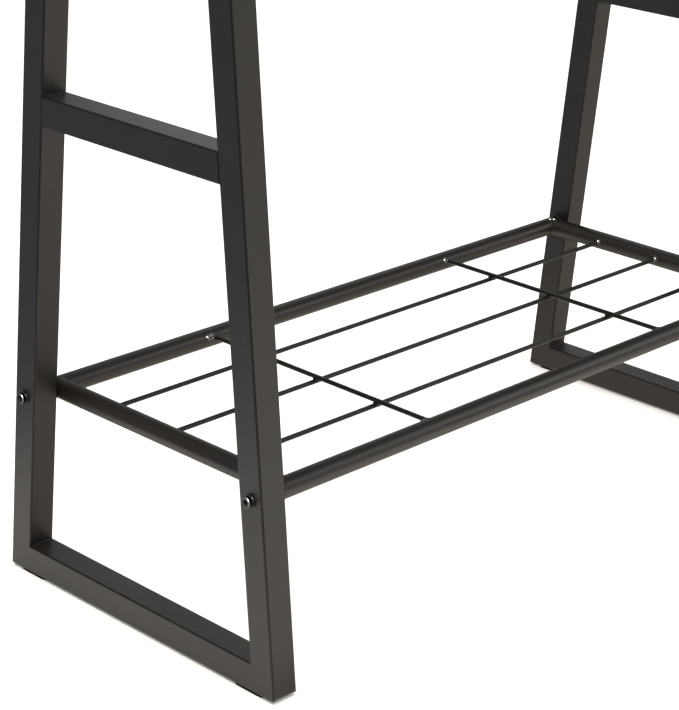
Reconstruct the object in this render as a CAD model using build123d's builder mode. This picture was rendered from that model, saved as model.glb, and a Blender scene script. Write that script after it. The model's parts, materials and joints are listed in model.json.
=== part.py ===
from build123d import *
import os
from math import atan, cos, sin, sqrt, tan

# Free-standing clothes rail with a low wire shelf.
#
# Two welded end frames of square steel tube carry a round hanging rail at the top and
# a welded shelf of round tube and wire near the floor.  Millimetres, +Z up.  The origin
# is on the floor under the middle of the rail; X runs along the rail, -Y is the front.

# Overall sizes
LENGTH = 870.0          # over the outer faces of the two end frames
FOOT_DEPTH = 400.0      # over the legs at the bottom rail
TOP_DEPTH = 90.0        # over the legs at the top rail
HEIGHT = 1700.0         # floor to the top of the end frames

# Square tube of the end frames
TUBE = 30.0
WALL = 1.5
TUBE_EDGE_R = 2.0       # outside radius of the tube's long edges
CORNER_R = 4.0          # ground radius of the frame's welded outer corners
CROSSBAR_Z = 505.0      # centre line of the crossbar

# Glides under the bottom rails
GLIDE_THICK = 2.0
GLIDE_WIDTH = 25.0
GLIDE_LENGTH = 38.0
GLIDE_INSET = 17.0      # from the frame's corner to the glide's end
GLIDE_CORNER_R = 3.0

# Shelf
SHELF_Z = 200.0         # centre plane of the shelf's tubes
SHELF_TUBE_D = 21.0
SHELF_TUBE_WALL = 1.2
SHELF_GAP = 1.0         # between a leg and the shelf's end tube
WIRE_D = 5.0
WIRE_DROP = 1.0         # long wires below the centre plane
WIRE_BITE = 2.0         # how far a wire reaches past the tube's outside
LONG_WIRE_SPAN = 0.52   # outer long wires, as a share of the half depth
CROSS_WIRE_SPAN = 0.475 # cross wires, as a share of the half length
BOSS_D = 12.0
BOSS_LENGTH = 19.0

# Hanging rail
RAIL_D = 25.0
RAIL_WALL = 1.2
RAIL_INSERT_LENGTH = 20.0

# M6 low-head socket screws and their washers
SCREW_D = 6.0
SCREW_LENGTH = 45.0
SCREW_CLEARANCE_D = 6.5
HEAD_D = 11.0
HEAD_HEIGHT = 3.8
HEAD_EDGE_R = 1.1
SOCKET_FLATS = 5.0
SOCKET_DEPTH = 2.4
LOCK_WASHER_D = 10.6
LOCK_WASHER_THICK = 1.4
LOCK_WASHER_SPLIT = 1.2
FLAT_WASHER_D = 14.0
FLAT_WASHER_THICK = 1.2

# Worked out from the sizes above
ENDS = {"left": -1, "right": 1}
SIDES = {"front": -1, "rear": 1}
FRAME_BOTTOM = GLIDE_THICK
FRAME_HEIGHT = HEIGHT - FRAME_BOTTOM
LEAN = atan((FOOT_DEPTH - TOP_DEPTH) / 2 / FRAME_HEIGHT)
LEG_RUN = FRAME_HEIGHT / cos(LEAN)
SHELF_R = SHELF_TUBE_D / 2
INNER_FACE_X = LENGTH / 2 - TUBE
END_TUBE_X = INNER_FACE_X - SHELF_GAP - SHELF_R
TOP_RAIL_Z = HEIGHT - TUBE / 2


def leg_axis(side):
    """Direction up the centre line of the leg on one side."""
    return Vector(0, -side * sin(LEAN), cos(LEAN))


def leg_inward(side):
    """Direction across the leg, from its outer face towards the middle of the frame."""
    return Vector(0, -side * cos(LEAN), -sin(LEAN))


def frame_corner(end, side, top=False):
    """Outer corner of an end frame, in the middle of the tube's width."""
    depth = TOP_DEPTH if top else FOOT_DEPTH
    height = HEIGHT if top else FRAME_BOTTOM
    return Vector(end * (LENGTH - TUBE) / 2, side * depth / 2, height)


def leg_centre_y(side, height):
    """Y of the leg's centre line at a height above the floor."""
    outer = FOOT_DEPTH / 2 - (height - FRAME_BOTTOM) * tan(LEAN)
    return side * (outer - TUBE / 2 / cos(LEAN))


def mitre(end, side, top=False):
    """Mitre plane between a leg and a rail; its normal points to the leg's side."""
    along_leg = leg_axis(side) * (-1 if top else 1)
    along_rail = Vector(0, -side, 0)
    corner = frame_corner(end, side, top)
    return Plane(origin=corner, x_dir=(1, 0, 0), z_dir=along_leg - along_rail)


def square_tube(start, direction, length):
    """Straight square tube from a point on its centre line."""
    with BuildPart() as tube:
        with BuildSketch(Plane(origin=start, x_dir=(1, 0, 0), z_dir=direction)):
            RectangleRounded(TUBE, TUBE, TUBE_EDGE_R)
            inside = TUBE - 2 * WALL
            RectangleRounded(inside, inside, TUBE_EDGE_R - WALL, mode=Mode.SUBTRACT)
        extrude(amount=length)
    return tube.part


def frame_outline(end):
    """Block with the outline of an end frame, its outer corners rounded."""
    with BuildPart() as outline:
        with BuildSketch(Plane.YZ.offset(end * (LENGTH - TUBE) / 2)):
            with BuildLine():
                Polyline(
                    (-FOOT_DEPTH / 2, FRAME_BOTTOM),
                    (FOOT_DEPTH / 2, FRAME_BOTTOM),
                    (TOP_DEPTH / 2, HEIGHT),
                    (-TOP_DEPTH / 2, HEIGHT),
                    close=True,
                )
            face = make_face()
            fillet(face.vertices(), CORNER_R)
        extrude(amount=TUBE / 2, both=True)
    return outline.part


def round_tube(start, direction, length, diameter, wall):
    """Straight round tube from a point on its centre line."""
    with BuildPart() as tube:
        with BuildSketch(Plane(origin=start, z_dir=direction)):
            Circle(diameter / 2)
            Circle(diameter / 2 - wall, mode=Mode.SUBTRACT)
        extrude(amount=length)
    return tube.part


def write(piece, name):
    """Label a finished piece and write its STEP file."""
    piece.label = name
    export_step(piece, f"parts/{name}.step")


def screw_seats():
    """Every screw: its point on a frame's outer face and its outward direction."""
    seats = []
    for end in ENDS.values():
        for side in SIDES.values():
            seats.append((end * LENGTH / 2, leg_centre_y(side, SHELF_Z), SHELF_Z, end))
        seats.append((end * LENGTH / 2, 0, TOP_RAIL_Z, end))
    return seats


def seat_plane(seat, stand_off=0.0):
    """Plane across a screw's axis, facing outwards, at a height over the frame's face."""
    x, y, z, end = seat
    return Plane(origin=(x + end * stand_off, y, z), x_dir=(0, 1, 0), z_dir=(end, 0, 0))


os.makedirs("parts", exist_ok=True)

# End frames: two leaning legs, a bottom rail, a crossbar and a top rail
for end_name, end in ENDS.items():
    outline = frame_outline(end)
    for side_name, side in SIDES.items():
        foot = frame_corner(end, side) + leg_inward(side) * (TUBE / 2)
        overrun = leg_axis(side) * TUBE
        hole_y = leg_centre_y(side, SHELF_Z)
        hole_plane = seat_plane((end * LENGTH / 2, hole_y, SHELF_Z, end))
        with BuildPart() as leg:
            add(square_tube(foot - overrun, leg_axis(side), LEG_RUN + 2 * TUBE))
            split(bisect_by=mitre(end, side), keep=Keep.TOP)
            split(bisect_by=mitre(end, side, top=True), keep=Keep.TOP)
            add(outline, mode=Mode.INTERSECT)
            with Locations(hole_plane):
                Hole(SCREW_CLEARANCE_D / 2, depth=TUBE)
        write(leg.part, f"{end_name}_{side_name}_leg")

    rail_start = Vector(end * (LENGTH - TUBE) / 2, -FOOT_DEPTH / 2, FRAME_BOTTOM + TUBE / 2)
    with BuildPart() as bottom_rail:
        add(square_tube(rail_start, (0, 1, 0), FOOT_DEPTH))
        for side in SIDES.values():
            split(bisect_by=mitre(end, side), keep=Keep.BOTTOM)
        add(outline, mode=Mode.INTERSECT)
    write(bottom_rail.part, f"{end_name}_bottom_rail")

    bar_start = Vector(end * (LENGTH - TUBE) / 2, -FOOT_DEPTH / 2, CROSSBAR_Z)
    with BuildPart() as crossbar:
        add(square_tube(bar_start, (0, 1, 0), FOOT_DEPTH))
        for side in SIDES.values():
            inner_face = frame_corner(end, side) + leg_inward(side) * TUBE
            leg_face = Plane(origin=inner_face, x_dir=(1, 0, 0), z_dir=leg_inward(side))
            split(bisect_by=leg_face, keep=Keep.TOP)
    write(crossbar.part, f"{end_name}_crossbar")

    top_start = Vector(end * (LENGTH - TUBE) / 2, -TOP_DEPTH / 2, TOP_RAIL_Z)
    with BuildPart() as top_rail:
        add(square_tube(top_start, (0, 1, 0), TOP_DEPTH))
        for side in SIDES.values():
            split(bisect_by=mitre(end, side, top=True), keep=Keep.BOTTOM)
        add(outline, mode=Mode.INTERSECT)
        with Locations(seat_plane((end * LENGTH / 2, 0, TOP_RAIL_Z, end))):
            Hole(SCREW_CLEARANCE_D / 2, depth=TUBE)
    write(top_rail.part, f"{end_name}_top_rail")

# Glides: thin pads stuck under the bottom rails, one near each corner
glide_y = FOOT_DEPTH / 2 - GLIDE_INSET - GLIDE_LENGTH / 2
for end_name, end in ENDS.items():
    for side_name, side in SIDES.items():
        with BuildPart() as glide:
            with BuildSketch():
                with Locations((end * (LENGTH - TUBE) / 2, side * glide_y)):
                    RectangleRounded(GLIDE_WIDTH, GLIDE_LENGTH, GLIDE_CORNER_R)
            extrude(amount=GLIDE_THICK)
        write(glide.part, f"{end_name}_{side_name}_glide")

# Shelf frame: long tubes front and rear, end tubes left and right, mitred at 45 degrees
shelf_y = abs(leg_centre_y(1, SHELF_Z))
cross_wire_x = END_TUBE_X * CROSS_WIRE_SPAN
long_wire_y = shelf_y * LONG_WIRE_SPAN
long_wire_z = SHELF_Z - WIRE_DROP
cross_wire_z = long_wire_z + WIRE_D


def shelf_mitre(end, side):
    """Mitre plane of a shelf corner; its normal points to the long tube's side."""
    corner = (end * END_TUBE_X, side * shelf_y, SHELF_Z)
    return Plane(origin=corner, x_dir=(0, 0, 1), z_dir=(-end, side, 0))


for side_name, side in SIDES.items():
    start = (-LENGTH / 2, side * shelf_y, SHELF_Z)
    with BuildPart() as long_tube:
        add(round_tube(start, (1, 0, 0), LENGTH, SHELF_TUBE_D, SHELF_TUBE_WALL))
        for end in ENDS.values():
            split(bisect_by=shelf_mitre(end, side), keep=Keep.TOP)
        for end in ENDS.values():
            wire_end = (end * cross_wire_x, side * (shelf_y - SHELF_TUBE_D), cross_wire_z)
            with Locations(Plane(origin=wire_end, z_dir=(0, -side, 0))):
                Hole(WIRE_D / 2, depth=SHELF_TUBE_D)
    write(long_tube.part, f"shelf_{side_name}_tube")

for end_name, end in ENDS.items():
    start = (end * END_TUBE_X, -FOOT_DEPTH / 2, SHELF_Z)
    with BuildPart() as end_tube:
        add(round_tube(start, (0, 1, 0), FOOT_DEPTH, SHELF_TUBE_D, SHELF_TUBE_WALL))
        for side in SIDES.values():
            split(bisect_by=shelf_mitre(end, side), keep=Keep.BOTTOM)
        for side in SIDES.values():
            boss_face = (end * INNER_FACE_X, side * shelf_y, SHELF_Z)
            with Locations(Plane(origin=boss_face, z_dir=(end, 0, 0))):
                Hole(BOSS_D / 2, depth=SHELF_GAP + SHELF_R)
        for wire_y in (-long_wire_y, 0, long_wire_y):
            wire_end = (end * (END_TUBE_X - SHELF_TUBE_D), wire_y, long_wire_z)
            with Locations(Plane(origin=wire_end, z_dir=(-end, 0, 0))):
                Hole(WIRE_D / 2, depth=SHELF_TUBE_D)
    write(end_tube.part, f"shelf_{end_name}_tube")

# Shelf wires: three long ones, and two cross wires welded on top of them
long_wire_half = END_TUBE_X - SHELF_R + WIRE_BITE
for wire_name, wire_y in {"front": -long_wire_y, "middle": 0, "rear": long_wire_y}.items():
    with BuildPart() as long_wire:
        with BuildSketch(Plane(origin=(0, wire_y, long_wire_z), z_dir=(1, 0, 0))):
            Circle(WIRE_D / 2)
        extrude(amount=long_wire_half, both=True)
    write(long_wire.part, f"shelf_{wire_name}_wire")

cross_wire_rise = cross_wire_z - SHELF_Z
cross_wire_half = shelf_y - sqrt(SHELF_R**2 - cross_wire_rise**2) + WIRE_BITE
for end_name, end in ENDS.items():
    with BuildPart() as cross_wire:
        middle = (end * cross_wire_x, 0, cross_wire_z)
        with BuildSketch(Plane(origin=middle, z_dir=(0, 1, 0))):
            Circle(WIRE_D / 2)
        extrude(amount=cross_wire_half, both=True)
    write(cross_wire.part, f"shelf_{end_name}_cross_wire")

# Threaded bosses welded into the shelf's corners, which the screws pull onto the legs
for end_name, end in ENDS.items():
    for side_name, side in SIDES.items():
        face = Plane(origin=(end * INNER_FACE_X, side * shelf_y, SHELF_Z), z_dir=(-end, 0, 0))
        with BuildPart() as boss:
            with BuildSketch(face):
                Circle(BOSS_D / 2)
                Circle(SCREW_D / 2, mode=Mode.SUBTRACT)
            extrude(amount=BOSS_LENGTH)
        write(boss.part, f"{end_name}_{side_name}_shelf_boss")

# Hanging rail, with a threaded insert in each end
rail_start = (-INNER_FACE_X, 0, TOP_RAIL_Z)
with BuildPart() as hanging_rail:
    add(round_tube(rail_start, (1, 0, 0), 2 * INNER_FACE_X, RAIL_D, RAIL_WALL))
write(hanging_rail.part, "hanging_rail")

for end_name, end in ENDS.items():
    face = Plane(origin=(end * INNER_FACE_X, 0, TOP_RAIL_Z), z_dir=(-end, 0, 0))
    with BuildPart() as insert:
        with BuildSketch(face):
            Circle(RAIL_D / 2 - RAIL_WALL)
            Circle(SCREW_D / 2, mode=Mode.SUBTRACT)
        extrude(amount=RAIL_INSERT_LENGTH)
    write(insert.part, f"{end_name}_rail_insert")

# Screws with a lock washer and a flat washer each, all six alike
lock_washer_base = FLAT_WASHER_THICK
head_base = lock_washer_base + LOCK_WASHER_THICK
head_top = head_base + HEAD_HEIGHT

with BuildPart() as cap_screws:
    for seat in screw_seats():
        with BuildSketch(seat_plane(seat, head_base)):
            Circle(HEAD_D / 2)
        extrude(amount=HEAD_HEIGHT)
    outer_edges = cap_screws.edges().filter_by(GeomType.CIRCLE)
    head_rims = [e for e in outer_edges if abs(e.center().X) > LENGTH / 2 + head_top - 0.1]
    fillet(head_rims, HEAD_EDGE_R)
    for seat in screw_seats():
        with BuildSketch(seat_plane(seat, head_base)):
            Circle(SCREW_D / 2)
        extrude(amount=-SCREW_LENGTH)
        with BuildSketch(seat_plane(seat, head_top)):
            RegularPolygon(SOCKET_FLATS / 2, 6, major_radius=False, rotation=15)
        extrude(amount=-SOCKET_DEPTH, mode=Mode.SUBTRACT)
write(cap_screws.part, "cap_screws")

with BuildPart() as lock_washers:
    for seat in screw_seats():
        with BuildSketch(seat_plane(seat, lock_washer_base)):
            Circle(LOCK_WASHER_D / 2)
            Circle(SCREW_D / 2, mode=Mode.SUBTRACT)
            with Locations((0, LOCK_WASHER_D / 2)):
                Rectangle(LOCK_WASHER_SPLIT, LOCK_WASHER_D, mode=Mode.SUBTRACT)
        extrude(amount=LOCK_WASHER_THICK)
write(lock_washers.part, "lock_washers")

with BuildPart() as flat_washers:
    for seat in screw_seats():
        with BuildSketch(seat_plane(seat)):
            Circle(FLAT_WASHER_D / 2)
            Circle(SCREW_CLEARANCE_D / 2, mode=Mode.SUBTRACT)
        extrude(amount=FLAT_WASHER_THICK)
write(flat_washers.part, "flat_washers")
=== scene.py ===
import json
from math import asin, atan, copysign, cos, pi, radians, sin, sqrt, tan
from random import Random

import bmesh
import bpy
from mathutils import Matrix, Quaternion, Vector, noise


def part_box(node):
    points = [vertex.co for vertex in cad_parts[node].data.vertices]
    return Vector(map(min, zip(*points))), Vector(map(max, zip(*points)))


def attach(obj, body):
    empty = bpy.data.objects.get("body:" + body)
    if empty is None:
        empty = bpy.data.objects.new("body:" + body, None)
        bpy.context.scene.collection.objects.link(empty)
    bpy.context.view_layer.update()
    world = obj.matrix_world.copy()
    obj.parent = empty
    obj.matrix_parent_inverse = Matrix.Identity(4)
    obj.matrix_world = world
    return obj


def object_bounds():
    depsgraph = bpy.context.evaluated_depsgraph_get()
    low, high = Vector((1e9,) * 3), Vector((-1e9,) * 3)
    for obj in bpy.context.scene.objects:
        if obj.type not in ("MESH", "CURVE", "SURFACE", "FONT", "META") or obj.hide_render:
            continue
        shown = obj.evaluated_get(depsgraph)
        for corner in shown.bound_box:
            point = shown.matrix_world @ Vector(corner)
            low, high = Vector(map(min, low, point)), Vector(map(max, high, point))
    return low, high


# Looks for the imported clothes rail: camera, studio, coats, weld details and glide lips.

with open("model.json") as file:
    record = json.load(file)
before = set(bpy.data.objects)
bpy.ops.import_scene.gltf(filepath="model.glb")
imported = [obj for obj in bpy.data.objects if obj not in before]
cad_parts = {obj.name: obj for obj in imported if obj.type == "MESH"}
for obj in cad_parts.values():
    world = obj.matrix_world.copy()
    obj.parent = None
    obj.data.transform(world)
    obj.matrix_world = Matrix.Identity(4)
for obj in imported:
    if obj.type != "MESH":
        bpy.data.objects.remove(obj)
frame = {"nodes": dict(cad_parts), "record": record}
cad_low, cad_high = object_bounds()
NODES = frame["nodes"]
MM = 0.001
UP = Vector((0, 0, 1))


def middle(node):
    """Centre of a CAD node's box."""
    low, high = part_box(node)
    return (low + high) / 2


def size(node):
    """Edge lengths of a CAD node's box."""
    low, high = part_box(node)
    return high - low


# Places and sizes read off the frame
ENDS = {"left": -1, "right": 1}
SIDES = {"front": -1, "rear": 1}
TUBE = size("left_crossbar").x
FRAME_X = middle("right_crossbar").x
SHELF_R = size("shelf_rear_tube").z / 2
SHELF_X = middle("shelf_right_tube").x
SHELF_Y = middle("shelf_rear_tube").y
SHELF_Z = middle("shelf_rear_tube").z
WIRE_R = size("shelf_middle_wire").z / 2
BOSS_R = size("left_front_shelf_boss").z / 2
LEG_FACE_X = FRAME_X - TUBE / 2
HEAD_BASE_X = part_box("lock_washers")[1].x

# Side outline of an end frame
FRAME_FOOT_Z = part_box("left_bottom_rail")[0].z
FRAME_TOP_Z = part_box("left_top_rail")[1].z
FOOT_HALF_DEPTH = 200 * MM
TOP_HALF_DEPTH = 45 * MM
LEAN = atan((FOOT_HALF_DEPTH - TOP_HALF_DEPTH) / (FRAME_TOP_Z - FRAME_FOOT_Z))


# --- camera -------------------------------------------------------------------------------

CAMERA_PLACE = Vector((-1.6735, -1.4923, 1.0581))
CAMERA_HEADING = 44.46      # degrees from +X towards +Y
CAMERA_DIP = 21.50          # degrees below the horizon
CAMERA_ROLL = 1.11          # degrees
CAMERA_LENS = 111.5         # mm


def add_camera():
    heading, dip = radians(CAMERA_HEADING), radians(CAMERA_DIP)
    ahead = Vector((cos(heading) * cos(dip), sin(heading) * cos(dip), -sin(dip)))
    data = bpy.data.cameras.new("camera")
    data.lens = CAMERA_LENS
    camera = bpy.data.objects.new("camera", data)
    bpy.context.scene.collection.objects.link(camera)
    camera.location = CAMERA_PLACE
    camera.rotation_mode = "QUATERNION"
    roll = Quaternion((0, 0, 1), radians(CAMERA_ROLL))
    camera.rotation_quaternion = (-ahead).to_track_quat("Z", "Y") @ roll
    bpy.context.scene.camera = camera


# --- shader nodes -------------------------------------------------------------------------

def new_material(name):
    """A material, its node tree and its shader."""
    material = bpy.data.materials.new(name)
    material.use_nodes = True
    tree = material.node_tree
    return material, tree, tree.nodes["Principled BSDF"]


def calculate(tree, operation, *values):
    """Result of a sum on values that are each a socket or a number."""
    node = tree.nodes.new("ShaderNodeMath")
    node.operation = operation
    for socket, value in zip(node.inputs, values):
        if isinstance(value, bpy.types.NodeSocket):
            tree.links.new(value, socket)
        else:
            socket.default_value = value
    return node.outputs[0]


def remap(tree, value, low, high, to_low, to_high, curve="LINEAR"):
    """Value carried from one range to another and kept inside it."""
    node = tree.nodes.new("ShaderNodeMapRange")
    node.interpolation_type = curve
    node.inputs["From Min"].default_value = low
    node.inputs["From Max"].default_value = high
    node.inputs["To Min"].default_value = to_low
    node.inputs["To Max"].default_value = to_high
    tree.links.new(value, node.inputs["Value"])
    return node.outputs[0]


def split(tree, vector, axis):
    """One axis of a vector."""
    node = tree.nodes.new("ShaderNodeSeparateXYZ")
    tree.links.new(vector, node.inputs[0])
    return node.outputs[axis]


def coordinates(tree, kind):
    return tree.nodes.new("ShaderNodeTexCoord").outputs[kind]


def surface_normal(tree, axis):
    geometry = tree.nodes.new("ShaderNodeNewGeometry")
    return split(tree, geometry.outputs["Normal"], axis)


def cloud_pattern(tree, coords, scale, detail):
    node = tree.nodes.new("ShaderNodeTexNoise")
    node.inputs["Scale"].default_value = scale
    node.inputs["Detail"].default_value = detail
    tree.links.new(coords, node.inputs["Vector"])
    return node.outputs["Fac"]


def pebble_pattern(tree, coords, scale):
    node = tree.nodes.new("ShaderNodeTexVoronoi")
    node.inputs["Scale"].default_value = scale
    tree.links.new(coords, node.inputs["Vector"])
    return node.outputs["Distance"]


def raised(tree, pattern, depth, under=None):
    """Normal of a surface raised by a pattern, on top of another raised one if given."""
    node = tree.nodes.new("ShaderNodeBump")
    node.inputs["Strength"].default_value = 1
    node.inputs["Distance"].default_value = depth
    tree.links.new(pattern, node.inputs["Height"])
    if under:
        tree.links.new(under, node.inputs["Normal"])
    return node.outputs[0]


def shaded(tree, colour, shade):
    """Colour times a varying shade."""
    node = tree.nodes.new("ShaderNodeVectorMath")
    node.operation = "SCALE"
    node.inputs[0].default_value = colour
    tree.links.new(shade, node.inputs["Scale"])
    return node.outputs[0]


# --- studio -------------------------------------------------------------------------------

FLOOR_WIDTH = 60
FLOOR_COLOUR = (0.84, 0.80, 0.74, 1)
FLOOR_GLOW_COLOUR = (1.0, 0.98, 0.95, 1)
FLOOR_GLOW = 0.2


def add_floor():
    """A pale floor lit partly from below, wide enough to reach every view's horizon."""
    bpy.ops.mesh.primitive_plane_add(size=FLOOR_WIDTH, location=(0, 0, 0))
    floor = bpy.context.object
    floor.name = "studio_floor"
    material, _, shader = new_material("studio_floor")
    shader.inputs["Base Color"].default_value = FLOOR_COLOUR
    shader.inputs["Roughness"].default_value = 0.9
    shader.inputs["Specular IOR Level"].default_value = 0.0
    shader.inputs["Emission Color"].default_value = FLOOR_GLOW_COLOUR
    shader.inputs["Emission Strength"].default_value = FLOOR_GLOW
    floor.data.materials.append(material)


def add_softbox(name, place, target, width, height, radiance, glossy=True):
    """A rectangular light of a given brightness that the camera can't see."""
    data = bpy.data.lights.new(name, "AREA")
    data.energy = radiance * width * height * pi
    data.shape = "RECTANGLE"
    data.size = width
    data.size_y = height
    light = bpy.data.objects.new(name, data)
    bpy.context.scene.collection.objects.link(light)
    light.location = place
    aim = Vector(target) - Vector(place)
    light.rotation_mode = "QUATERNION"
    light.rotation_quaternion = (-aim).to_track_quat("Z", "Y")
    light.visible_camera = False
    light.visible_glossy = glossy
    return light


FLAG_HEIGHT = 1 * MM
UNLIT_RADIANCE = 0.42
UNLIT_TINT = (0.90, 0.93, 1.14, 1)
UNLIT_OUTLINE = ((-6, -3), (-0.85, -3), (-0.85, 0.45), (0.6, 0.45), (0.6, 6), (-6, 6))
DIM_RADIANCE = 0.84
DIM_TINT = (1.06, 0.96, 0.82, 1)
DIM_OUTLINE = (
    (-0.42, -0.25), (0.45, -0.25), (0.45, -1.8), (2.5, -1.8), (2.5, 0.45), (-0.42, 0.45),
)


def add_flag(name, outline, radiance, tint):
    """A dim sheet seen only in reflections, where a real studio's floor is unlit."""
    mesh = bpy.data.meshes.new(name)
    points = [(x, y, FLAG_HEIGHT) for x, y in outline]
    mesh.from_pydata(points, [], [range(len(points))])
    flag = bpy.data.objects.new(name, mesh)
    bpy.context.scene.collection.objects.link(flag)
    material, _, shader = new_material(name)
    shader.inputs["Base Color"].default_value = (0, 0, 0, 1)
    shader.inputs["Specular IOR Level"].default_value = 0
    shader.inputs["Emission Color"].default_value = tint
    shader.inputs["Emission Strength"].default_value = radiance
    mesh.materials.append(material)
    flag.visible_camera = False
    flag.visible_diffuse = False
    flag.visible_shadow = False
    flag.visible_transmission = False


GLINT_PLACE = (-3.12, -1.2, 2.6)
GLINT_TARGET = (0, 0, 0.2)
GLINT_SIZE = 0.4
GLINT_RADIANCE = 4200


def add_glint_lamp(receivers):
    """A small lamp for the glints on screws and weld metal, which are all it lights."""
    lamp = add_softbox("glint_lamp", GLINT_PLACE, GLINT_TARGET, GLINT_SIZE, GLINT_SIZE, GLINT_RADIANCE)
    lamp.data.use_shadow = False
    lamp.visible_diffuse = False
    lit = bpy.data.collections.new("glinting")
    for piece in receivers:
        lit.objects.link(piece)
    lamp.light_linking.receiver_collection = lit


# Brightness of the sky, and the height and X of its direction between which it changes
SKY_LOW = 0.22
SKY_HIGH = 0.60
SKY_RISE = (0.2, 0.7)
SKY_DIM_SIDE = 0.6
SKY_FALL = (-0.7, 0.5)


def add_sky():
    """A dim sky that is lightest overhead and darker on the +X side."""
    world = bpy.data.worlds.new("studio")
    bpy.context.scene.world = world
    world.use_nodes = True
    tree = world.node_tree
    direction = coordinates(tree, "Generated")
    height = split(tree, direction, "Z")
    across = split(tree, direction, "X")
    glow = remap(tree, height, *SKY_RISE, SKY_LOW, SKY_HIGH, "SMOOTHSTEP")
    dimming = remap(tree, across, *SKY_FALL, 1, SKY_DIM_SIDE, "SMOOTHSTEP")
    background = tree.nodes["Background"]
    background.inputs["Color"].default_value = (1, 1, 1, 1)
    tree.links.new(calculate(tree, "MULTIPLY", glow, dimming), background.inputs["Strength"])


def add_studio():
    """Sky, broad light on the floor with more at the near foot, two softboxes and two flags."""
    add_sky()
    add_softbox(
        "overhead", place=(0.1, -0.1, 5.0), target=(0.1, -0.1, 0),
        width=6, height=6, radiance=3.2, glossy=False,
    )
    add_softbox(
        "foot_light", place=(-1.0, -0.1, 2.2), target=(-0.62, 0.1, 0),
        width=0.9, height=0.9, radiance=6.5, glossy=False,
    )
    add_softbox(
        "front_right_box", place=(2.0, -1.7, 1.55), target=(0, 0, 0.3),
        width=1.3, height=1.7, radiance=2.7,
    )
    add_softbox(
        "back_right_box", place=(2.2, 2.2, 1.85), target=(0, 0, 0.5),
        width=1.4, height=0.9, radiance=1.8,
    )
    add_flag("unlit_floor", UNLIT_OUTLINE, UNLIT_RADIANCE, UNLIT_TINT)
    add_flag("dim_floor", DIM_OUTLINE, DIM_RADIANCE, DIM_TINT)
    bpy.context.scene.view_settings.view_transform = "Standard"


# --- materials ----------------------------------------------------------------------------

# Patterns: their scale per metre, and the tones that they vary between
CLOUD_SCALE = 14
CLOUD_RANGE = (0.3, 0.7)    # what nearly all of the noise lies between
CLOUD_TONES = (0.88, 1.12)
PEEL_SCALE = 260
MOTTLE_SCALE = 700
MOTTLE_TONES = (0.75, 1.25)
PEBBLE_SCALE = 900
PEBBLE_TONES = (0.8, 1.3)

COAT_GRAIN_DEPTH = 0.02 * MM
STEEL_GRAIN_DEPTH = 0.01 * MM
PEBBLE_DEPTH = 0.05 * MM

COAT_GLOSS_SPREAD = 0.07
STEEL_GLOSS_SPREAD = 0.08

# Painted shade on upward faces starts where the normal's Z reaches this
TOP_SHADE_START = 0.5

# Screw heads: their sockets and sides fade to painted shade between these depths below the face
FADE_START = 0.9 * MM
FADE_END = 1.3 * MM
DARK_TONE = 0.1
LOCK_WASHER_TONE = 28       # times the tone of the heads' sides
LOCK_WASHER_EDGE = 0.1 * MM


def rounding_factor(tree, amount):
    """One on faces square to X or along it, and the amount on the roundings between."""
    across = surface_normal(tree, "X")
    square = calculate(tree, "MULTIPLY", across, across)
    rest = calculate(tree, "SUBTRACT", 1, square)
    # The product is largest, a quarter, halfway round a rounding
    return remap(tree, calculate(tree, "MULTIPLY", square, rest), 0, 0.25, 1, amount)


def upward_factor(tree, amount):
    """Painted shade: one on sides and undersides, falling to the amount on faces turned straight up.
    """
    return remap(tree, surface_normal(tree, "Z"), TOP_SHADE_START, 1, 1, amount)


def head_wear_and_shade(tree, coords, rim_tone):
    """Screw steel: rims lighter from wear, lighter lock washers, painted shade in sockets and sides.
    """
    reach = calculate(tree, "ABSOLUTE", split(tree, coords, "X"))
    depth = remap(tree, reach, cad_high.x - FADE_END, cad_high.x - FADE_START, DARK_TONE, 1)
    washer_end = (HEAD_BASE_X - LOCK_WASHER_EDGE, HEAD_BASE_X + LOCK_WASHER_EDGE)
    lock = remap(tree, reach, *washer_end, LOCK_WASHER_TONE, 1)
    worn_and_shaded = calculate(tree, "MULTIPLY", rounding_factor(tree, rim_tone), depth)
    return calculate(tree, "MULTIPLY", worn_and_shaded, lock)


def coat(name, colour, roughness, grain, peel, specular=0.5, ior=1.5, painted_shade=None):
    """Powder coat: fine grain over gentle orange peel.

    The painted shade is a function and an amount, and darkens the colour and gloss of the parts the
    function picks.
    """
    material, tree, shader = new_material(name)
    link = tree.links.new
    coords = coordinates(tree, "Object")
    shader.inputs["IOR"].default_value = ior
    shader.inputs["Specular IOR Level"].default_value = specular

    clouds = cloud_pattern(tree, coords, CLOUD_SCALE, 4)
    shade = remap(tree, clouds, *CLOUD_RANGE, *CLOUD_TONES)
    if painted_shade:
        pick, amount = painted_shade
        # Painted shade: the picked parts get a darker colour and weaker gloss
        factor = pick(tree, amount)
        shade = calculate(tree, "MULTIPLY", shade, factor)
        shaded_gloss = calculate(tree, "MULTIPLY", factor, specular)
        link(shaded_gloss, shader.inputs["Specular IOR Level"])
    link(shaded(tree, colour, shade), shader.inputs["Base Color"])

    grains = cloud_pattern(tree, coords, 1 / grain, 3)
    gloss = (roughness - COAT_GLOSS_SPREAD, roughness + COAT_GLOSS_SPREAD)
    link(remap(tree, grains, 0, 1, *gloss), shader.inputs["Roughness"])
    peeled = raised(tree, cloud_pattern(tree, coords, PEEL_SCALE, 1), peel)
    link(raised(tree, grains, COAT_GRAIN_DEPTH, peeled), shader.inputs["Normal"])
    return material


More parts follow.
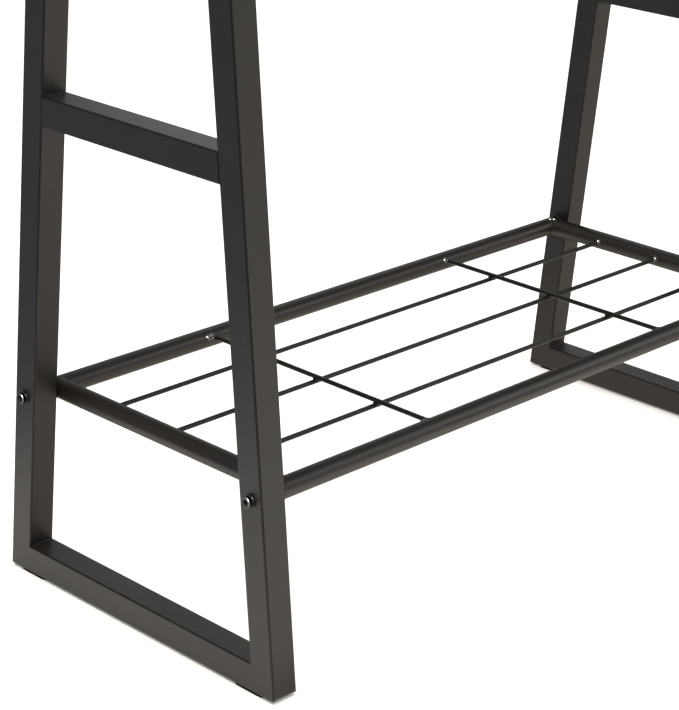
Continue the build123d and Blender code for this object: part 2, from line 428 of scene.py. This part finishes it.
def steel(name, colour, roughness, metallic=1.0, rim_tone=None):
    """Mottled machined steel; if asked for, rims lighter from wear, sockets and sides in painted
    shade.
    """
    material, tree, shader = new_material(name)
    link = tree.links.new
    coords = coordinates(tree, "Object")
    shader.inputs["Metallic"].default_value = metallic
    mottle = cloud_pattern(tree, coords, MOTTLE_SCALE, 4)
    shade = remap(tree, mottle, 0, 1, *MOTTLE_TONES)
    if rim_tone:
        shade = calculate(tree, "MULTIPLY", shade, head_wear_and_shade(tree, coords, rim_tone))
    link(shaded(tree, colour, shade), shader.inputs["Base Color"])
    gloss = (roughness - STEEL_GLOSS_SPREAD, roughness + STEEL_GLOSS_SPREAD)
    link(remap(tree, mottle, 0, 1, *gloss), shader.inputs["Roughness"])
    link(raised(tree, mottle, STEEL_GRAIN_DEPTH), shader.inputs["Normal"])
    return material


def rubber(name, colour):
    """Matt moulded rubber with a pebbled skin."""
    material, tree, shader = new_material(name)
    pebbles = pebble_pattern(tree, coordinates(tree, "Object"), PEBBLE_SCALE)
    shade = remap(tree, pebbles, 0, 1, *PEBBLE_TONES)
    tree.links.new(shaded(tree, colour, shade), shader.inputs["Base Color"])
    tree.links.new(raised(tree, pebbles, PEBBLE_DEPTH), shader.inputs["Normal"])
    shader.inputs["Roughness"].default_value = 0.85
    shader.inputs["Specular IOR Level"].default_value = 0.1
    return material


FRAME_BLACK = (0.0102, 0.0081, 0.0063)
SHELF_BLACK = (0.0098, 0.0070, 0.0048)
WIRE_BLACK = (0.0036, 0.0030, 0.0025)
WELD_BLACK = (0.0065, 0.0062, 0.0060)
BRIGHT_STEEL = (0.45, 0.44, 0.42)
BLACKED_STEEL = (0.040, 0.038, 0.036)
WASHER_BLACK = (0.008, 0.0075, 0.007)
RUBBER_BLACK = (0.004, 0.004, 0.004)
# Painted shade: the frame's rounded edges darker in colour and gloss
SHADED_ROUNDINGS = (rounding_factor, 0.5)
# Painted shade: faces turned up darker in colour and gloss
SHADED_TOP = (upward_factor, 0.57)

MATERIALS = {
    "frame_coat": coat(
        "frame_coat", FRAME_BLACK, roughness=0.45, grain=0.6 * MM, peel=0.10 * MM,
        painted_shade=SHADED_ROUNDINGS,
    ),
    "shelf_coat": coat(
        "shelf_coat", SHELF_BLACK, roughness=0.42, grain=0.5 * MM, peel=0.06 * MM,
        painted_shade=SHADED_TOP,
    ),
    "rail_coat": coat(
        "rail_coat", SHELF_BLACK, roughness=0.42, grain=0.5 * MM, peel=0.06 * MM,
        painted_shade=SHADED_TOP,
    ),
    "wire_coat": coat(
        "wire_coat", WIRE_BLACK, roughness=0.33, grain=0.5 * MM, peel=0.04 * MM,
        specular=0.28,
    ),
    "weld_coat": coat(
        "weld_coat", WELD_BLACK, roughness=0.19, grain=0.5 * MM, peel=0.02 * MM,
        specular=0.8, ior=1.8,
    ),
    "turned_steel": steel("turned_steel", BRIGHT_STEEL, roughness=0.35),
    "black_steel": steel("black_steel", BLACKED_STEEL, roughness=0.33, rim_tone=4.5),
    "washer_steel": steel("washer_steel", WASHER_BLACK, roughness=0.45, metallic=0.2),
    "glide_rubber": rubber("glide_rubber", RUBBER_BLACK),
}


def dress_cad_nodes():
    for entry in frame["record"]["subparts"]:
        piece = NODES[entry["node"]]
        piece.data.materials.clear()
        piece.data.materials.append(MATERIALS[entry["material_slot"]])


# --- beads and nuggets --------------------------------------------------------------------

BEAD_SIDES = 12
BEAD_STEP = 0.4 * MM
BEAD_LEAST_STEPS = 12
BEAD_END_SIZE = 0.2         # of an open bead's ends, over its middle's
BEAD_END_POWER = 6          # how late an open bead starts to narrow
BEAD_LUMP_SCALE = 450       # per metre
BEAD_RIPPLE = 0.07
BEAD_PITCH = 1.6 * MM
NUGGET_SWELL = 0.08
NUGGET_LUMP_SCALE = 1.1     # per radius
NUGGET_NOISE_SPREAD = 40    # over how much of the noise the nuggets are strewn


def add_piece(name, mesh_builder, material):
    """Turn a bmesh into a smooth piece that rides on the frame."""
    mesh = bpy.data.meshes.new(name)
    bmesh.ops.recalc_face_normals(mesh_builder, faces=mesh_builder.faces)
    mesh_builder.to_mesh(mesh)
    mesh_builder.free()
    for polygon in mesh.polygons:
        polygon.use_smooth = True
    mesh.materials.append(MATERIALS[material])
    piece = bpy.data.objects.new(name, mesh)
    bpy.context.scene.collection.objects.link(piece)
    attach(piece, "root")
    return piece


def skin_rings(bm, rings, closed):
    """Join rings of vertices into a skin, with a cap at each end of an open one."""
    pairs = list(zip(rings, rings[1:]))
    if closed:
        pairs.append((rings[-1], rings[0]))
    else:
        bm.faces.new(rings[0])
        bm.faces.new(reversed(rings[-1]))
    for ring, following in pairs:
        for k in range(len(ring)):
            corners = (ring[k - 1], ring[k], following[k], following[k - 1])
            bm.faces.new(corners)


def bead_fade(progress):
    """Size of an open bead on its way from one end to the other, over its middle's."""
    return sqrt(max(BEAD_END_SIZE**2, 1 - (2 * progress - 1) ** BEAD_END_POWER))


def bead(bm, path, normals, half_width, height, lumps, pitch=BEAD_PITCH, closed=False):
    """Weld bead: an oval section swept along a path, rippled and a little uneven."""
    rings = []
    run = 0
    last = len(path) - 1
    for i, (point, normal) in enumerate(zip(path, normals)):
        before = path[i - 1] if closed or i > 0 else path[0]
        after = path[0] if closed and i == last else path[min(i + 1, last)]
        along = (after - before).normalized()
        across = along.cross(normal).normalized()
        run += (after - before).length / 2
        fade = 1 if closed else bead_fade(i / last)
        uneven = 1 + lumps * noise.noise(point * BEAD_LUMP_SCALE)
        ripple = 1 + BEAD_RIPPLE * sin(2 * pi * run / pitch)
        ring = []
        for k in range(BEAD_SIDES):
            turn = 2 * pi * k / BEAD_SIDES
            offset = across * half_width * cos(turn) + normal * height * sin(turn)
            ring.append(bm.verts.new(point + offset * fade * uneven * ripple))
        rings.append(ring)
    skin_rings(bm, rings, closed)


def straight_bead(bm, start, end, normal, half_width, height, lumps):
    """Bead along a straight line."""
    steps = max(BEAD_LEAST_STEPS, round((end - start).length / BEAD_STEP))
    path = [start.lerp(end, i / steps) for i in range(steps + 1)]
    bead(bm, path, [normal] * len(path), half_width, height, lumps)


def nugget(bm, centre, axis, radius, height, dice):
    """Domed blob of weld metal, smooth and slightly out of round."""
    made = bmesh.ops.create_icosphere(bm, subdivisions=4, radius=1)
    turn = axis.to_track_quat("Z", "X").to_matrix()
    place_in_noise = Vector([dice.uniform(0, NUGGET_NOISE_SPREAD) for _ in range(3)])
    for vertex in made["verts"]:
        lump = noise.noise(vertex.co * NUGGET_LUMP_SCALE + place_in_noise)
        spot = Vector((vertex.co.x * radius, vertex.co.y * radius, vertex.co.z * height))
        vertex.co = centre + turn @ (spot * (1 + NUGGET_SWELL * lump))


# --- welds at the wires' ends and crossings -----------------------------------------------

LONG_WIRES = ("front", "middle", "rear")

COLLAR_STEPS = 48
COLLAR_GAP = 0.2 * MM       # from the wire's surface to the collar's middle
COLLAR_HALF_WIDTH = 1.2 * MM
COLLAR_HEIGHT = 1.0 * MM
COLLAR_LUMPS = 0.35

NUGGET_RADII = (3.5, 4.0)   # mm
NUGGET_SINK = 0.6 * MM
NUGGET_ROUNDNESS = 0.9      # height over radius

# How far round the tube a nugget sits above its wire, and how far beside it
LONG_NUGGET_RISE = radians(13)
LONG_NUGGET_SHIFTS = (3 * MM,)
CROSS_NUGGET_RISE = radians(4)
CROSS_NUGGET_SHIFTS = {"left": (-2.3 * MM, -7.3 * MM), "right": (-2.0 * MM,)}

SPATTER_COUNT = 4
SPATTER_RISES = (-55, 10)   # degrees round the tube, above the wire
SPATTER_SHIFTS = (3.5, 9)   # mm
SPATTER_RADII = (0.7, 1.4)  # mm
SPATTER_ROUNDNESS = 0.6

CROSSING_RADII = (3.2, 3.7)  # mm
CROSSING_HEIGHT = 1.7 * MM


def on_shelf_tube(centre, inward, angle):
    """Point on a shelf tube's surface, at an angle above its inner side, and its normal."""
    normal = inward * cos(angle) + UP * sin(angle)
    return centre + normal * SHELF_R, normal


def wire_collar(bm, centre, inward, wire_z):
    """Bead round a wire's end, where the wire meets the shelf tube."""
    sideways = UP.cross(inward)
    reach = WIRE_R + COLLAR_GAP
    path, normals = [], []
    for i in range(COLLAR_STEPS):
        turn = 2 * pi * i / COLLAR_STEPS
        radial = sideways * cos(turn) + UP * sin(turn)
        above = wire_z - SHELF_Z + reach * sin(turn)
        point, out = on_shelf_tube(centre, inward, asin(above / SHELF_R))
        path.append(point + sideways * reach * cos(turn))
        normals.append((radial + out).normalized())
    bead(bm, path, normals, COLLAR_HALF_WIDTH, COLLAR_HEIGHT, COLLAR_LUMPS, closed=True)


def wire_joint(collars, nuggets, centre, inward, wire_z, rise, shifts, dice):
    """Collar round a wire's end with spatter on one side, and nuggets on the other."""
    wire_collar(collars, centre, inward, wire_z)
    sideways = UP.cross(inward)
    wire_angle = asin((wire_z - SHELF_Z) / SHELF_R)
    for shift in shifts:
        spot, out = on_shelf_tube(centre, inward, wire_angle + rise)
        spot += sideways * shift
        radius = dice.uniform(*NUGGET_RADII) * MM
        nugget(nuggets, spot - out * NUGGET_SINK, out, radius, NUGGET_ROUNDNESS * radius, dice)
    for _ in range(SPATTER_COUNT):
        angle = wire_angle + radians(dice.uniform(*SPATTER_RISES))
        spot, out = on_shelf_tube(centre, inward, angle)
        spot -= sideways * copysign(dice.uniform(*SPATTER_SHIFTS) * MM, shifts[0])
        radius = dice.uniform(*SPATTER_RADII) * MM
        nugget(collars, spot, out, radius, SPATTER_ROUNDNESS * radius, dice)


def add_wire_welds():
    """Welds at the ends of every wire, and where the wires cross."""
    dice = Random(4)
    made = []
    for end_name, end in ENDS.items():
        collars, nuggets = bmesh.new(), bmesh.new()
        for wire in LONG_WIRES:
            place = middle(f"shelf_{wire}_wire")
            centre = Vector((end * SHELF_X, place.y, SHELF_Z))
            inward = Vector((-end, 0, 0))
            shifts = [end * shift for shift in LONG_NUGGET_SHIFTS]
            wire_joint(collars, nuggets, centre, inward, place.z, LONG_NUGGET_RISE, shifts, dice)
        for side in SIDES.values():
            place = middle(f"shelf_{end_name}_cross_wire")
            centre = Vector((place.x, side * SHELF_Y, SHELF_Z))
            inward = Vector((0, -side, 0))
            shifts = [side * shift for shift in CROSS_NUGGET_SHIFTS[end_name]]
            wire_joint(collars, nuggets, centre, inward, place.z, CROSS_NUGGET_RISE, shifts, dice)
        add_piece(f"{end_name}_wire_collars", collars, "shelf_coat")
        name = f"{end_name}_wire_nuggets"
        made.append(add_piece(name, nuggets, "weld_coat"))

    crossings = bmesh.new()
    for end_name in ENDS:
        cross = middle(f"shelf_{end_name}_cross_wire")
        for wire in LONG_WIRES:
            long = middle(f"shelf_{wire}_wire")
            spot = Vector((cross.x, long.y, (cross.z + long.z) / 2))
            radius = dice.uniform(*CROSSING_RADII) * MM
            nugget(crossings, spot, UP, radius, CROSSING_HEIGHT, dice)
    add_piece("wire_crossing_welds", crossings, "wire_coat")
    return made


# --- welds at the shelf's corners and bosses ----------------------------------------------

MITRE_STEPS = 220
MITRE_HALF_WIDTH = 1.7 * MM
MITRE_HEIGHT = 0.55 * MM
MITRE_LUMPS = 0.35

# Nuggets on the right-hand mitres: how far round they sit, and how far each is off the seam
CORNER_NUGGET_TURN = 0.31
CORNER_NUGGET_SHIFT = 1.9 * MM
CORNER_NUGGET_RADII = (2.4, 2.9)  # mm

BOSS_STEPS = 140
BOSS_WELD_SETBACK = 2.6 * MM  # from the leg's face
BOSS_WELD_GAP = 3.4 * MM      # from the boss to the bead's middle
BOSS_WELD_HALF_WIDTH = 1.5 * MM
BOSS_WELD_HEIGHT = 2.6 * MM
BOSS_WELD_LUMPS = 0.5
BOSS_WELD_PITCH = 3.2 * MM


def mitre_seam(end, side):
    """Points and normals round the seam between two shelf tubes."""
    path, normals = [], []
    for i in range(MITRE_STEPS):
        turn = 2 * pi * i / MITRE_STEPS
        reach = SHELF_R * cos(turn)
        x, y = end * (SHELF_X + reach), side * (SHELF_Y + reach)
        path.append(Vector((x, y, SHELF_Z + SHELF_R * sin(turn))))
        out = Vector((end * cos(turn), side * cos(turn), 2 * sin(turn)))
        normals.append(out.normalized())
    return path, normals


def add_shelf_corner_welds():
    """Beads round the shelf's four mitres, with nuggets on top at the right-hand end."""
    dice = Random(9)
    nuggets = bmesh.new()
    for side_name, side in SIDES.items():
        beads = bmesh.new()
        for end_name, end in ENDS.items():
            path, normals = mitre_seam(end, side)
            bead(beads, path, normals, MITRE_HALF_WIDTH, MITRE_HEIGHT, MITRE_LUMPS, closed=True)
            if end_name == "left":
                continue
            across = Vector((end, -side, 0)).normalized()
            i = round(MITRE_STEPS * CORNER_NUGGET_TURN)
            for way in (-1, 1):
                spot = path[i] + across * way * CORNER_NUGGET_SHIFT
                radius = dice.uniform(*CORNER_NUGGET_RADII) * MM
                nugget(nuggets, spot, normals[i], radius, NUGGET_ROUNDNESS * radius, dice)
        add_piece(f"shelf_{side_name}_corner_welds", beads, "shelf_coat")
    return [add_piece("shelf_corner_nuggets", nuggets, "weld_coat")]


def add_boss_welds():
    """Lumpy collars where the four bosses come out of the shelf towards the legs."""
    beads = bmesh.new()
    turns = [2 * pi * i / BOSS_STEPS for i in range(BOSS_STEPS)]
    normals = [Vector((0, cos(turn), sin(turn))) for turn in turns]
    for end in ENDS.values():
        for side in SIDES.values():
            x = end * (LEG_FACE_X - BOSS_WELD_SETBACK)
            centre = Vector((x, side * SHELF_Y, SHELF_Z))
            path = [centre + normal * (BOSS_R + BOSS_WELD_GAP) for normal in normals]
            bead(
                beads, path, normals, BOSS_WELD_HALF_WIDTH, BOSS_WELD_HEIGHT,
                BOSS_WELD_LUMPS, BOSS_WELD_PITCH, closed=True,
            )
    add_piece("boss_welds", beads, "shelf_coat")


# --- end frames' welds and glides ---------------------------------------------------------

FILLET_SETBACK = 2.5 * MM   # from the frame's faces to the bead's ends
FILLET_HALF_WIDTH = 1.2 * MM
FILLET_HEIGHT = 0.6 * MM
FILLET_LUMPS = 0.2

LIP_OFFSET = 0.9 * MM       # from the glide's side to the lip's middle
LIP_HALF_HEIGHT = 0.9 * MM
LIP_HALF_WIDTH = 1.2 * MM


def leg_inner_y(height):
    """Y of a rear leg's inner face at a height."""
    outer = FOOT_HALF_DEPTH - (height - FRAME_FOOT_Z) * tan(LEAN)
    return outer - TUBE / cos(LEAN)


def add_frame_welds():
    """Fillet beads inside the frames' joints; their other seams are ground flush."""
    crossbar_low, crossbar_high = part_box("left_crossbar")
    rail_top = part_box("left_bottom_rail")[1].z
    top_rail_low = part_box("left_top_rail")[0].z
    # Height of each joint's corner, and whether the corner is open upwards or downwards
    joints = (
        (rail_top, 1),
        (crossbar_low.z, -1),
        (crossbar_high.z, 1),
        (top_rail_low, -1),
    )
    for end_name, end in ENDS.items():
        beads = bmesh.new()
        x_start = end * (FRAME_X - TUBE / 2 + FILLET_SETBACK)
        x_stop = end * (FRAME_X + TUBE / 2 - FILLET_SETBACK)
        for side in SIDES.values():
            inward = Vector((0, -side * cos(LEAN), -sin(LEAN)))
            for z, up in joints:
                y = side * leg_inner_y(z)
                start, stop = Vector((x_start, y, z)), Vector((x_stop, y, z))
                out = (inward + UP * up).normalized()
                straight_bead(beads, start, stop, out, FILLET_HALF_WIDTH, FILLET_HEIGHT, FILLET_LUMPS)
        add_piece(f"{end_name}_frame_welds", beads, "frame_coat")


def add_glide_lips():
    """Soft rubber lips along the glides' long sides, which also stand as painted shade in the gap
    under the rails.
    """
    lips = bmesh.new()
    for end_name in ENDS:
        for side_name in SIDES:
            low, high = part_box(f"{end_name}_{side_name}_glide")
            z = (low.z + high.z) / 2
            for face_x, out in ((low.x, -1), (high.x, 1)):
                x = face_x + out * LIP_OFFSET
                start, stop = Vector((x, low.y, z)), Vector((x, high.y, z))
                outward = Vector((out, 0, 0))
                straight_bead(lips, start, stop, outward, LIP_HALF_HEIGHT, LIP_HALF_WIDTH, lumps=0)
    add_piece("glide_lips", lips, "glide_rubber")


# --- run ----------------------------------------------------------------------------------

add_camera()
add_floor()
add_studio()
dress_cad_nodes()
glinting = add_wire_welds() + add_shelf_corner_welds()
add_boss_welds()
add_frame_welds()
add_glide_lips()
add_glint_lamp(glinting + [NODES["cap_screws"], NODES["lock_washers"]])
